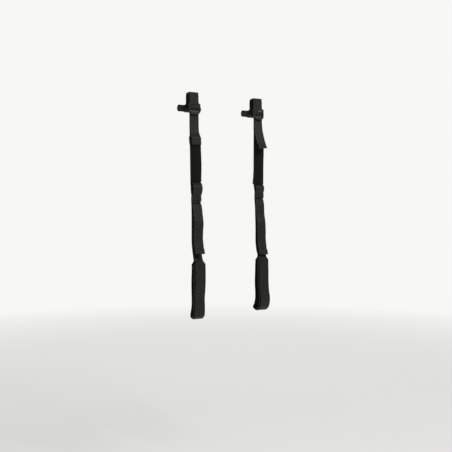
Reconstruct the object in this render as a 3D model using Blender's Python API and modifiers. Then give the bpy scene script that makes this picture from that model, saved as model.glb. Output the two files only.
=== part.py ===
"""Pair of over-door exercise straps with padded hand loops and padded foot loops.

Metres, +Z up.  The origin is the middle of the door's top front edge, between the two straps.
The door would fill y = 0 (its front face) to y = DOOR_THICKNESS (its back face) below z = 0,
and the room is on the -Y side.  Each strap is drawn in the YZ plane as a route of points
(distance off the door's front face, distance below the door's top) in millimetres.
"""
import math

import bpy
from mathutils import Matrix, Vector

MM = 0.001
GAP = 0.0003                     # clearance between pieces that rest on or pass each other

DOOR_THICKNESS = 0.040
STRAP_SPACING = 0.370            # between the middles of the two straps
WEB_WIDTH = 0.050
WEB_THICKNESS = 0.0020
ROUTE_STEPS = 3                  # straight runs between two route points

# Door anchor: a foam covered tube in a sewn loop, behind the door.
TUBE_LENGTH = 0.120
TUBE_RADIUS = 0.0110
TUBE_WALL = 0.0020
FOAM_RADIUS = 0.0170
CAP_FLANGE = 0.0025
CAP_PLUG = 0.0100
TUBE_BELOW_TOP = 0.073
LOOP_CLEARANCE = 0.0006          # the tube turns in its loop
ROUND_SIDES = 28

# Ladder-lock buckle.
BUCKLE_HALF_WIDTH = 0.0315
BUCKLE_RAIL = 0.0059
BUCKLE_OFF_DOOR = 0.0072         # middle plane of the three bars
SEWN_BAR_BELOW_TOP = 0.061
SEWN_BAR_RADIUS = 0.0022
GRIP_BAR_BELOW_TOP = 0.077
LOWER_BAR_BELOW_TOP = 0.096
LIP_TILT = math.radians(33)

# Flat three-bar slide under the hand loop.
SLIDE_HALF_WIDTH = 0.0280
SLIDE_HEIGHT = 0.0280
SLIDE_THICKNESS = 0.0036
SLIDE_BAR = 0.0042

# Pads.
HAND_PAD_WIDTH = 0.060
HAND_PAD_THICKNESS = 0.0130
LOOP_PAD_WIDTH = 0.064
LOOP_PAD_THICKNESS = 0.0090
COVER_WALL = 0.0012
LOOP_WEB_GAP = 0.0008            # between the foot loop's pad and the webbing round it

STRAPS = {
    "left": {
        "x": -STRAP_SPACING / 2,
        "slide": (30.0, 525.0),
        "main": [(2.6, 200), (4.6, 240), (9, 330), (12.5, 430), (17, 485), (21, 510)],
        "hand_pad": [(14.6, 226), (19.4, 265), (25.6, 330), (28, 380), (25.4, 425), (25.6, 452)],
        "hand_loop": [(26.6, 453.2), (34, 457), (46, 467), (53, 485), (49, 503), (40, 516)],
        "upper_tail": [(3.9, 104), (4.4, 150), (7, 192), (16, 212), (27, 228), (31, 241)],
        "upper_hem": [(31, 241), (31.8, 253), (31.8, 265)],
        "lower": [(26, 580), (27.5, 640), (27.5, 740), (34, 785), (42.5, 815)],
        "neck": [(42.5, 815), (48, 832), (54, 846)],
        "lower_tail": [(33, 562), (42, 575), (53, 615), (63.5, 660), (59, 695), (56, 735), (63, 766),
                       (69.5, 786)],
        "lower_hem": [(69.5, 786), (73.5, 798), (77, 810)],
        "loop": [(73, 866), (76, 905), (76, 955), (71, 1000), (65, 1037), (67.5, 1078), (64, 1110),
                 (56, 1129), (41, 1137), (27, 1131), (24, 1116), (33, 1093), (40, 1060), (39, 1010),
                 (37, 960), (41, 905), (43, 866)],
    },
    "right": {
        "x": STRAP_SPACING / 2,
        "slide": (17.0, 501.0),
        "main": [(2.4, 200), (1.8, 240), (1.4, 330), (1.4, 430), (1.9, 454), (6, 470), (11, 487)],
        "hand_pad": [(14.4, 226), (15.4, 265), (13.4, 330), (11.4, 390), (10.4, 430), (10.2, 455)],
        "hand_loop": [(11.4, 456.2), (19, 459.5), (26.5, 467), (28.5, 479), (26, 490), (21.5, 497)],
        "upper_tail": [(3.9, 104), (5, 130), (11, 166), (19, 190), (29, 215), (41, 240)],
        "upper_hem": [(41, 240), (47, 251), (53, 262)],
        "lower": [(15.5, 560), (19, 613), (22.5, 680), (23.5, 760), (32, 800)],
        "neck": [(32, 800), (39, 816), (46, 829)],
        "lower_tail": [(20, 538), (27.5, 562), (31.5, 613), (42, 655), (45, 700), (46, 745), (52, 778),
                       (58, 798)],
        "lower_hem": [(58, 798), (61.5, 810), (64.5, 822)],
        "loop": [(62, 848), (65, 890), (67, 965), (72, 1012), (80, 1052), (75, 1080), (62, 1100),
                 (46, 1113), (22, 1117), (6, 1109), (7, 1097), (21, 1078), (29, 1052), (28, 1012),
                 (25, 965), (29, 890), (33, 848)],
    },
}

WEBBING = ("webbing", (0.030, 0.026, 0.024), 0.62, 0.0)
PAD_CLOTH = ("pad_cloth", (0.012, 0.012, 0.011), 0.85, 0.0)
PAD_FOAM = ("pad_foam", (0.020, 0.020, 0.020), 0.95, 0.0)
PLASTIC = ("black_plastic", (0.018, 0.018, 0.018), 0.38, 0.0)
TUBE_PLASTIC = ("tube_plastic", (0.62, 0.62, 0.60), 0.45, 0.0)


# ---------------------------------------------------------------- scene and small helpers

def clear_scene():
    """Remove every object that is in the scene."""
    for old in list(bpy.data.objects):
        bpy.data.objects.remove(old, do_unlink=True)


def new_collection(name):
    """A collection linked to the scene."""
    group = bpy.data.collections.new(name)
    bpy.context.scene.collection.children.link(group)
    return group


def material(finish):
    """The Principled material for one finish, made once."""
    name, colour, roughness, metallic = finish
    made = bpy.data.materials.get(name)
    if made is None:
        made = bpy.data.materials.new(name)
        made.use_nodes = True
        shader = made.node_tree.nodes["Principled BSDF"]
        shader.inputs["Base Color"].default_value = (*colour, 1.0)
        shader.inputs["Roughness"].default_value = roughness
        shader.inputs["Metallic"].default_value = metallic
        made.diffuse_color = (*colour, 1.0)
    return made


def add_piece(name, data, finish, group=None):
    """An object in the model's collection with its material."""
    piece = bpy.data.objects.new(name, data)
    (group or MODEL).objects.link(piece)
    data.materials.append(material(finish))
    return piece


def pivot(name, position, parent=None):
    """An empty that stands on a joint's axis and carries one body's pieces."""
    empty = bpy.data.objects.new(name, None)
    empty.empty_display_size = 0.02
    MODEL.objects.link(empty)
    empty["place"] = position
    if parent is None:
        empty.location = position
    else:
        empty.parent = parent
        empty.location = Vector(position) - Vector(parent["place"])
    return empty


def hang(piece, empty):
    """Parent a piece, drawn in world coordinates, to a body's pivot."""
    piece.parent = empty
    piece.matrix_parent_inverse = Matrix.Translation(-Vector(empty["place"]))
    return piece


# ---------------------------------------------------------------- routes in the YZ plane

def on_door(points):
    """Route points (off the door, below its top) in millimetres as (y, z) in metres."""
    return [Vector((-off * MM, -below * MM)) for off, below in points]


def smooth(points, steps=ROUTE_STEPS):
    """A smooth curve through the points, as straight runs (Catmull-Rom)."""
    ends = [2 * points[0] - points[1], *points, 2 * points[-1] - points[-2]]
    curve = []
    for before, start, stop, after in zip(ends, ends[1:], ends[2:], ends[3:]):
        for step in range(steps):
            t = step / steps
            bend = 2 * before - 5 * start + 4 * stop - after
            twist = 3 * start - before - 3 * stop + after
            curve.append(start + 0.5 * t * ((stop - before) + t * (bend + t * twist)))
    return [*curve, points[-1].copy()]


def side_step(curve, distance):
    """The curve moved sideways: to the left of its direction for a positive distance."""
    moved = []
    for i, point in enumerate(curve):
        along = curve[min(i + 1, len(curve) - 1)] - curve[max(i - 1, 0)]
        left = Vector((-along.y, along.x)).normalized()
        moved.append(point + left * distance)
    return moved


def arc(centre, radius, start_deg, stop_deg, steps):
    """Points on an arc, angles from +Y towards +Z."""
    angles = [math.radians(start_deg + (stop_deg - start_deg) * i / steps) for i in range(steps + 1)]
    return [centre + radius * Vector((math.cos(a), math.sin(a))) for a in angles]


def shorten(curve, start=0.0, stop=0.0):
    """The curve with a little cut off each end, along its first and last runs."""
    first = curve[0] + (curve[1] - curve[0]).normalized() * start
    last = curve[-1] + (curve[-2] - curve[-1]).normalized() * stop
    return [first, *curve[1:-1], last]


# ---------------------------------------------------------------- solids

def profile_curve(name, loops, half_depth, fill):
    """A 2D curve in the YZ plane, extruded along X; each loop is a closed or open outline."""
    data = bpy.data.curves.new(name, "CURVE")
    data.dimensions = "2D"
    data.fill_mode = "BOTH" if fill else "NONE"
    data.extrude = half_depth
    for loop in loops:
        spline = data.splines.new("POLY")
        spline.points.add(len(loop) - 1)
        for target, point in zip(spline.points, loop):
            target.co = (point[0], point[1], 0.0, 1.0)
        spline.use_cyclic_u = fill
    return data


def stand_in_yz(piece, x):
    """Turn a curve drawn in its own XY plane so that it lies in the YZ plane at x."""
    piece.rotation_euler = (math.pi / 2, 0.0, math.pi / 2)
    piece.location = (x, 0.0, 0.0)
    return piece


def ribbon(name, curve, x, finish=WEBBING, width=WEB_WIDTH, thickness=WEB_THICKNESS):
    """A flat strap that follows a curve in the YZ plane."""
    piece = add_piece(name, profile_curve(name, [curve], width / 2, fill=False), finish)
    solid = piece.modifiers.new("thickness", "SOLIDIFY")
    solid.thickness = thickness
    solid.offset = 0.0
    solid.use_even_offset = True
    return stand_in_yz(piece, x)


def rounded_box_outline(width, height, radius, steps=2):
    """The corner points of a rectangle with round corners, centred on its own origin."""
    corners = ((1, 1, 0), (-1, 1, 90), (-1, -1, 180), (1, -1, 270))
    points = []
    for side, up, start in corners:
        centre = Vector((side * (width / 2 - radius), up * (height / 2 - radius)))
        points.extend(arc(centre, radius, start, start + 90, steps))
    return points


def section(name, width, thickness, radius):
    """A guide outline that a pad is swept from: its width along X, its thickness off the strap."""
    data = bpy.data.curves.new(name, "CURVE")
    data.dimensions = "2D"
    data.fill_mode = "NONE"
    outline = rounded_box_outline(width, thickness, radius, steps=1)
    spline = data.splines.new("POLY")
    spline.points.add(len(outline) - 1)
    for target, point in zip(spline.points, outline):
        target.co = (point.y, point.x, 0.0, 1.0)
    spline.use_cyclic_u = True
    guide = bpy.data.objects.new(name, data)
    guide.hide_render = True
    guide.display_type = "WIRE"
    GUIDES.objects.link(guide)
    return guide


def swept_pad(name, curve, x, guide, finish, wall=None):
    """A pad swept along a curve: solid with flat ends, or an open-ended sleeve with a wall."""
    data = bpy.data.curves.new(name, "CURVE")
    data.dimensions = "2D"
    data.bevel_mode = "OBJECT"
    data.bevel_object = guide
    data.use_fill_caps = wall is None
    spline = data.splines.new("POLY")
    spline.points.add(len(curve) - 1)
    for target, point in zip(spline.points, curve):
        target.co = (point.x, point.y, 0.0, 1.0)
    piece = add_piece(name, data, finish)
    if wall is None:
        weld = piece.modifiers.new("close_caps", "WELD")
        weld.merge_threshold = 0.00001
    else:
        solid = piece.modifiers.new("wall", "SOLIDIFY")
        solid.thickness = wall
        solid.offset = -1.0
        solid.use_even_offset = True
    return stand_in_yz(piece, x)


def turned(name, outline, centre, finish):
    """A round piece with its axis along X, from a closed outline of (radius, along) points."""
    mesh = bpy.data.meshes.new(name)
    count = len(outline)
    edges = [(i, (i + 1) % count) for i in range(count)]
    mesh.from_pydata([(radius, 0.0, along) for radius, along in outline], edges, [])
    piece = add_piece(name, mesh, finish)
    screw = piece.modifiers.new("turn", "SCREW")
    screw.steps = ROUND_SIDES
    screw.render_steps = ROUND_SIDES
    screw.use_merge_vertices = True
    screw.merge_threshold = 0.00005
    piece.rotation_euler = (0.0, math.pi / 2, 0.0)
    piece.location = centre
    return piece


def join_solids(name, solids, finish):
    """One solid from several that overlap, with Boolean unions."""
    base = solids[0]
    for other in solids[1:]:
        union = base.modifiers.new("join", "BOOLEAN")
        union.operation = "UNION"
        union.object = other
    evaluated = base.evaluated_get(bpy.context.evaluated_depsgraph_get())
    mesh = bpy.data.meshes.new_from_object(evaluated)
    mesh.transform(base.matrix_world)
    for used in solids:
        bpy.data.objects.remove(used, do_unlink=True)
    mesh.materials.clear()
    mesh.name = name
    return add_piece(name, mesh, finish)


def block(name, x, y, z, size, bevel, tilt=0.0):
    """A box with rounded edges, used to build up a moulded piece."""
    bpy.ops.mesh.primitive_cube_add(size=1.0, location=(x, y, z), rotation=(tilt, 0.0, 0.0))
    piece = bpy.context.object
    piece.name = name
    piece.data.transform(Matrix.Diagonal((*size, 1.0)))
    rounding = piece.modifiers.new("rounding", "BEVEL")
    rounding.width = bevel
    rounding.segments = 2
    return piece


def bar(name, x, y, z, radius, length):
    """A round bar along X, used to build up a moulded piece."""
    bpy.ops.mesh.primitive_cylinder_add(vertices=16, radius=radius, depth=length,
                                        location=(x, y, z), rotation=(0.0, math.pi / 2, 0.0))
    piece = bpy.context.object
    piece.name = name
    return piece


# ---------------------------------------------------------------- door anchor

def make_anchor(side, x, empty):
    """The foam covered tube behind the door, with its two end caps."""
    centre = (x, DOOR_THICKNESS + anchor_off_door(), -TUBE_BELOW_TOP)
    half = TUBE_LENGTH / 2
    bore = TUBE_RADIUS - TUBE_WALL
    tube = [(TUBE_RADIUS, half), (TUBE_RADIUS, -half), (bore, -half), (bore, half)]
    sleeve_bore = TUBE_RADIUS + GAP
    sleeve = [(FOAM_RADIUS, half), (FOAM_RADIUS, -half), (sleeve_bore, -half), (sleeve_bore, half)]
    hang(turned(f"anchor_tube_{side}", tube, centre, TUBE_PLASTIC), empty)
    hang(turned(f"anchor_foam_{side}", sleeve, centre, PAD_FOAM), empty)
    for end, sign in (("a", -1), ("b", 1)):
        face = sign * (half + GAP)
        plug = bore - GAP
        cap = [(0.0, face + sign * CAP_FLANGE), (TUBE_RADIUS, face + sign * CAP_FLANGE),
               (TUBE_RADIUS, face), (plug, face), (plug, face - sign * CAP_PLUG),
               (0.0, face - sign * CAP_PLUG)]
        hang(turned_cap(f"anchor_cap_{end}_{side}", cap, centre, sign), empty)


def turned_cap(name, outline, centre, sign):
    """A solid cap: its outline is open at the axis, and runs down its outer side."""
    mesh = bpy.data.meshes.new(name)
    points = outline if sign > 0 else outline[::-1]
    mesh.from_pydata([(radius, 0.0, along) for radius, along in points],
                     [(i, i + 1) for i in range(len(points) - 1)], [])
    piece = add_piece(name, mesh, PLASTIC)
    screw = piece.modifiers.new("turn", "SCREW")
    screw.steps = ROUND_SIDES
    screw.render_steps = ROUND_SIDES
    screw.use_merge_vertices = True
    screw.merge_threshold = 0.00005
    piece.rotation_euler = (0.0, math.pi / 2, 0.0)
    piece.location = centre
    return piece


def anchor_off_door():
    """Tube axis off the door's back face: its foam bears on the webbing that lies on the door."""
    return WEB_THICKNESS + LOOP_CLEARANCE + FOAM_RADIUS


def make_door_webbing(side, x, empty):
    """Over the door's top, down its back, round the anchor tube and sewn back on itself."""
    lie = WEB_THICKNESS / 2
    back = DOOR_THICKNESS + lie
    centre = Vector((DOOR_THICKNESS + anchor_off_door(), -TUBE_BELOW_TOP))
    ring = FOAM_RADIUS + LOOP_CLEARANCE + WEB_THICKNESS / 2
    over = [Vector((GAP / 2, lie)), Vector((0.010, lie)), Vector((0.030, lie))]
    corner = arc(Vector((back - 0.004, lie - 0.004)), 0.004, 90, 0, 3)
    down = [Vector((back, -0.020)), Vector((back, -0.050))]
    round_tube = arc(centre, ring, 180, 480, 18)
    second = back + WEB_THICKNESS + GAP
    sewn = [Vector((second + 0.0022, -0.0515)), Vector((second, -0.0450)), Vector((second, -0.0080))]
    hang(ribbon(f"door_webbing_{side}", over + corner + down + round_tube + sewn, x), empty)


# ---------------------------------------------------------------- front drop and buckle

def make_front_drop(side, x, empty):
    """From the door's edge down to the buckle's sewn bar, round it and sewn back on itself."""
    lie = -WEB_THICKNESS / 2
    bar_centre = Vector((-BUCKLE_OFF_DOOR, -SEWN_BAR_BELOW_TOP))
    ring = SEWN_BAR_RADIUS + GAP + WEB_THICKNESS / 2
    down = [Vector((lie, -GAP / 2)), Vector((lie, -0.022)), Vector((lie, -0.044)),
            Vector((lie - 0.0007, -0.050))]
    fold = arc(bar_centre, ring, 20, -200, 10)
    front = lie - WEB_THICKNESS - GAP
    sewn = [Vector((front - 0.0042, -0.0535)), Vector((front - 0.0010, -0.0465)),
            Vector((front, -0.0420)), Vector((front, -0.0160))]
    hang(ribbon(f"drop_webbing_{side}", down + fold + sewn, x), empty)


def make_buckle(side, x, empty):
    """Ladder-lock: two side rails, a sewn bar, a grip bar, a lower bar and a curved release lip."""
    y = -BUCKLE_OFF_DOOR
    rail_x = BUCKLE_HALF_WIDTH - BUCKLE_RAIL / 2
    inner = 2 * (BUCKLE_HALF_WIDTH - BUCKLE_RAIL) + 0.004
    solids = [block("rail_a", x - rail_x, y - 0.0006, -0.0785, (BUCKLE_RAIL, 0.0105, 0.0440), 0.0018),
              block("rail_b", x + rail_x, y - 0.0006, -0.0785, (BUCKLE_RAIL, 0.0105, 0.0440), 0.0018),
              bar("sewn_bar", x, y, -SEWN_BAR_BELOW_TOP, SEWN_BAR_RADIUS, inner),
              block("grip_bar", x, y, -GRIP_BAR_BELOW_TOP, (inner, 0.0034, 0.0056), 0.0010),
              block("lower_bar", x, y, -LOWER_BAR_BELOW_TOP, (inner, 0.0038, 0.0060), 0.0010),
              make_lip(x)]
    bpy.context.view_layer.update()
    hang(join_solids(f"ladder_buckle_{side}", solids, PLASTIC), empty)


def make_lip(x):
    """The release lip under the lower bar: a plate with a bowed lower edge, tilted forwards."""
    half = 0.0270
    top, ends, middle = 0.0, -0.0100, -0.0185
    bow = [(half * math.cos(a), ends + (middle - ends) * math.sin(a))
           for a in [math.pi * i / 8 for i in range(9)]]
    outline = [(-half, top), (half, top), *bow]
    data = profile_curve("lip", [outline], 0.0014, fill=True)
    lip = bpy.data.objects.new("lip", data)
    MODEL.objects.link(lip)
    bpy.context.view_layer.update()
    mesh = bpy.data.meshes.new_from_object(lip.evaluated_get(bpy.context.evaluated_depsgraph_get()))
    bpy.data.objects.remove(lip, do_unlink=True)
    piece = bpy.data.objects.new("lip_plate", mesh)
    MODEL.objects.link(piece)
    weld = piece.modifiers.new("close_caps", "WELD")
    weld.merge_threshold = 0.00001
    piece.location = (x, -BUCKLE_OFF_DOOR - 0.0006, -LOWER_BAR_BELOW_TOP)
    piece.rotation_euler = (math.pi / 2 - LIP_TILT, 0.0, 0.0)
    return piece


def make_grip_wrap(side, x, empty):
    """The stretch of webbing that turns over the buckle's grip bar."""
    turn = [(1.3, 88), (1.5, 84.5), (2.8, 81.2), (3.9, 78), (4.2, 74.6), (5.6, 72.9), (7.6, 72.7),
            (9.4, 73.4), (10.3, 75.6), (10.3, 79), (9.4, 82.4), (6.8, 86.4), (4.6, 89.6), (4.0, 93),
            (4.0, 103.7)]
    hang(ribbon(f"grip_wrap_{side}", on_door(turn), x), empty)


# ---------------------------------------------------------------- hand loop and slide

def slide_points(slide, offsets):
    """Route points given from the slide's middle plane and its top edge."""
    off, below = slide
    return [(off + side, below + down) for side, down in offsets]


def make_slide(side, x, slide, empty):
    """A flat slide with three bars, moulded in one piece."""
    off, below = slide
    width = 2 * SLIDE_HALF_WIDTH
    window = (SLIDE_HEIGHT - 3 * SLIDE_BAR) / 2
    outer = rounded_box_outline(width, SLIDE_HEIGHT, 0.0030)
    holes = []
    for sign in (1, -1):
        hole = rounded_box_outline(WEB_WIDTH + 0.0012, window, 0.0008, steps=1)
        shift = Vector((0.0, sign * (window + SLIDE_BAR) / 2))
        holes.append([point + shift for point in hole])
    data = profile_curve(f"web_slide_{side}", [outer, *holes], SLIDE_THICKNESS / 2, fill=True)
    piece = add_piece(f"web_slide_{side}", data, PLASTIC)
    weld = piece.modifiers.new("close_caps", "WELD")
    weld.merge_threshold = 0.00001
    piece.rotation_euler = (math.pi / 2, 0.0, 0.0)
    piece.location = (x, -off * MM, -below * MM - SLIDE_HEIGHT / 2)
    hang(piece, empty)


def make_main_webbing(side, x, spec, empty):
    """The strap behind the hand pad; it turns round the slide's top bar to become the hand loop."""
    behind = slide_points(spec["slide"], [(-3.4, 0.2), (-3.4, 3.6), (-2.6, 5.6), (0, 6.2)])
    before = slide_points(spec["slide"], [(0, 6.2), (2.6, 5.6), (3.4, 3.6), (3.6, -1.0)])
    hang(ribbon(f"main_webbing_{side}", shorten(smooth(on_door(spec["main"] + behind)), 0, GAP), x),
         empty)
    front = smooth(on_door(spec["hand_loop"] + before[::-1]))
    hang(ribbon(f"hand_loop_webbing_{side}", shorten(front, 0, GAP), x), empty)


def make_hand_pad(side, x, spec, empty):
    """Padded sleeve of the hand loop with its foam core."""
    curve = smooth(on_door(spec["hand_pad"]), 2)
    hang(swept_pad(f"hand_pad_cover_{side}", curve, x, SECTIONS["hand_cover"], PAD_CLOTH, COVER_WALL),
         empty)
    hang(swept_pad(f"hand_pad_foam_{side}", shorten(curve, 0.002, 0.002), x, SECTIONS["hand_foam"],
                   PAD_FOAM), empty)


def make_slide_wrap(side, x, spec, empty):
    """The stretch of the lower strap that turns over the slide's middle bar."""
    turn = slide_points(spec["slide"], [(-6.2, 28.2), (-5.8, 22), (-4.4, 18.2), (-3.4, 14.5), (-3.1, 12),
                                        (-2, 10.2), (0, 9.9), (2, 10.2), (3.2, 12), (3.4, 15.6),
                                        (2.2, 18.6), (-2, 21.4), (-3.5, 24), (-3.5, 28.7)])
    hang(ribbon(f"slide_wrap_{side}", on_door(turn), x), empty)


# ---------------------------------------------------------------- adjusting spans and tails

def make_spans(side, x, spec, bodies):
    """Webbing between the bodies: it gets longer and shorter as the strap is adjusted."""
    top = [(1.3, 88.3), (1.3, 120), (1.6, 160), (spec["main"][0][0], spec["main"][0][1] - 0.3)]
    hang(ribbon(f"main_span_{side}", smooth(on_door(top)), x), bodies["main"])
    leg = slide_points(spec["slide"], [(-6.2, 28.6), (-6.0, 36)])
    lower = smooth(on_door(leg + spec["lower"]))
    hang(ribbon(f"lower_span_{side}", shorten(lower, 0, GAP), x), bodies["lower"])
    tail = smooth(on_door(spec["upper_tail"]))
    hang(ribbon(f"upper_tail_{side}", shorten(tail, 0, 3 * GAP), x), bodies["upper_tail"])
    start = slide_points(spec["slide"], [(-3.4, 29.5)])
    tail = smooth(on_door(start + spec["lower_tail"]))
    hang(ribbon(f"lower_tail_{side}", shorten(tail, 0, 3 * GAP), x), bodies["lower_tail"])


def make_hem(name, points, x, empty):
    """The doubled, sewn end of a tail."""
    curve = smooth(on_door(points), 2)
    hang(ribbon(name, curve, x, thickness=2 * WEB_THICKNESS), empty)


# ---------------------------------------------------------------- foot loop

def make_foot_loop(side, x, spec, empty):
    """Padded band bent into a flat loop, with webbing sewn round its outside."""
    outline = smooth(on_door(spec["loop"]), 2)
    band = side_step(outline, LOOP_PAD_THICKNESS / 2)
    hang(swept_pad(f"foot_pad_cover_{side}", band, x, SECTIONS["foot_cover"], PAD_CLOTH, COVER_WALL),
         empty)
    hang(swept_pad(f"foot_pad_foam_{side}", shorten(band, 0.002, 0.002), x, SECTIONS["foot_foam"],
                   PAD_FOAM), empty)
    outer = side_step(outline, -WEB_THICKNESS / 2 - LOOP_WEB_GAP)
    neck = Vector(on_door([spec["neck"][-1]])[0])
    front = smooth([neck + Vector((-0.0012, -0.0018)), neck + Vector((-0.0022, -0.0060)),
                    outer[0] + Vector((0.0050, 0.0068)), outer[0] + Vector((0.0004, 0.0020))], 3)
    back = smooth([outer[-1] + Vector((-0.0004, 0.0020)), outer[-1] + Vector((-0.0044, 0.0068)),
                   neck + Vector((0.0020, -0.0060)), neck + Vector((0.0012, -0.0018))], 3)
    hang(ribbon(f"foot_loop_webbing_{side}", front + outer + back, x), empty)


# ---------------------------------------------------------------- the object

def make_strap(side, spec, door):
    """One complete strap, from its door anchor to its foot loop."""
    x = spec["x"]
    anchor = pivot(f"anchor_axis_{side}", (x, DOOR_THICKNESS + anchor_off_door(), -TUBE_BELOW_TOP), door)
    swing = pivot(f"swing_axis_{side}", (x, 0.0, 0.0), door)
    buckle = pivot(f"buckle_axis_{side}", (x, -BUCKLE_OFF_DOOR, -SEWN_BAR_BELOW_TOP), swing)
    below = on_door([spec["slide"]])[0]
    main = pivot(f"main_slide_{side}", (x, -BUCKLE_OFF_DOOR, -GRIP_BAR_BELOW_TOP), buckle)
    upper_tail = pivot(f"upper_tail_slide_{side}", (x, -BUCKLE_OFF_DOOR, -LOWER_BAR_BELOW_TOP), buckle)
    lower = pivot(f"lower_slide_{side}", (x, below.x, below.y), main)
    lower_tail = pivot(f"lower_tail_slide_{side}", (x, below.x, below.y), main)
    hinge = on_door([spec["neck"][-1]])[0]
    foot = pivot(f"foot_axis_{side}", (x, hinge.x, hinge.y), lower)

    make_anchor(side, x, anchor)
    make_door_webbing(side, x, door)
    make_front_drop(side, x, swing)
    make_buckle(side, x, buckle)
    make_grip_wrap(side, x, buckle)
    make_main_webbing(side, x, spec, main)
    make_hand_pad(side, x, spec, main)
    make_slide(side, x, spec["slide"], main)
    make_slide_wrap(side, x, spec, main)
    make_spans(side, x, spec, {"main": main, "lower": lower, "upper_tail": upper_tail,
                               "lower_tail": lower_tail})
    make_hem(f"upper_tail_hem_{side}", spec["upper_hem"], x, upper_tail)
    make_hem(f"lower_tail_hem_{side}", spec["lower_hem"], x, lower_tail)
    hang(ribbon(f"loop_neck_{side}", smooth(on_door(spec["neck"])), x), lower)
    make_foot_loop(side, x, spec, foot)


clear_scene()
MODEL = new_collection("over_door_straps")
GUIDES = new_collection("guides")
COVER_GAP = 2 * (COVER_WALL + GAP)
SECTIONS = {
    "hand_cover": section("hand_cover_section", HAND_PAD_WIDTH, HAND_PAD_THICKNESS, 0.0050),
    "hand_foam": section("hand_foam_section", HAND_PAD_WIDTH - COVER_GAP,
                         HAND_PAD_THICKNESS - COVER_GAP, 0.0045),
    "foot_cover": section("foot_cover_section", LOOP_PAD_WIDTH, LOOP_PAD_THICKNESS, 0.0035),
    "foot_foam": section("foot_foam_section", LOOP_PAD_WIDTH - COVER_GAP,
                         LOOP_PAD_THICKNESS - COVER_GAP, 0.0028),
}
DOOR = pivot("door_top", (0.0, 0.0, 0.0))
for strap_side, strap_spec in STRAPS.items():
    make_strap(strap_side, strap_spec, DOOR)
bpy.context.view_layer.update()
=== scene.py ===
"""Looks of a pair of over-door exercise straps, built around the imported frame.

Each strap is one class that holds its routes and makes its webbing, pads, buckle, slide, door anchor
and stitching.  Routes are points in the YZ plane (distance off the door's front face, distance below
the door's top), in millimetres; everything that is built from them is in metres.
"""

import logging
import math
from collections.abc import Callable, Sequence
from dataclasses import dataclass, field
from enum import Enum

import bmesh
import bpy
import numpy as np
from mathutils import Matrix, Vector, noise


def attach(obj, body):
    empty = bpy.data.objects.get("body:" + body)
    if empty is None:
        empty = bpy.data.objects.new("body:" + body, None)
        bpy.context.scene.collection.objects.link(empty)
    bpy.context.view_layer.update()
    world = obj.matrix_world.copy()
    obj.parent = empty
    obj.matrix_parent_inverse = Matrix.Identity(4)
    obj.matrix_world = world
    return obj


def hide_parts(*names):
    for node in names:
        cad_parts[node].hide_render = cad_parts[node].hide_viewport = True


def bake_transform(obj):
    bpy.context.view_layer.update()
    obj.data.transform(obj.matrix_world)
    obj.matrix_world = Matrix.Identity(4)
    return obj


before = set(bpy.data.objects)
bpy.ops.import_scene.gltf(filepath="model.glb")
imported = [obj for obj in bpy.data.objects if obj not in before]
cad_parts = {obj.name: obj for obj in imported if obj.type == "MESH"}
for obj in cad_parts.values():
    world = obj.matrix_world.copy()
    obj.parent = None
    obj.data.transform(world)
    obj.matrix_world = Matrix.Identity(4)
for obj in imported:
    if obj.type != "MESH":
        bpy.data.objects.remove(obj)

LOG = logging.getLogger("straps")
MM = 0.001

WEB_WIDTH = 0.050
WEB_THICKNESS = 0.0020
LINE_STEP = 0.0012               # spacing of cross-sections along a strap
SKY = (0.93, 0.93, 0.92)         # tone of the studio's sky, linear RGB
STRAP_SPACING = 0.370            # between the two straps
HAND_PAD = (0.062, 0.0130)       # width and thickness of a hand pad

TURN_START = 0.35                # share of a free end's length before it turns
RIPPLE_ALONG = 38                # slow unevenness: waves per metre along
RIPPLE_ACROSS = 30               # and across
PUCKER_PITCH = 0.0085            # length of one pucker beside a sewn edge
PUCKER_REACH = 0.03              # distance across at which puckers stand fully
PUCKER_SLANT = 90                # radians by which puckers lag per metre across

Point = tuple[float, float]
Seam = np.ndarray                # (n, 3) points that a row of stitches follows


# ---------------------------------------------------------------- finishes

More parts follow.
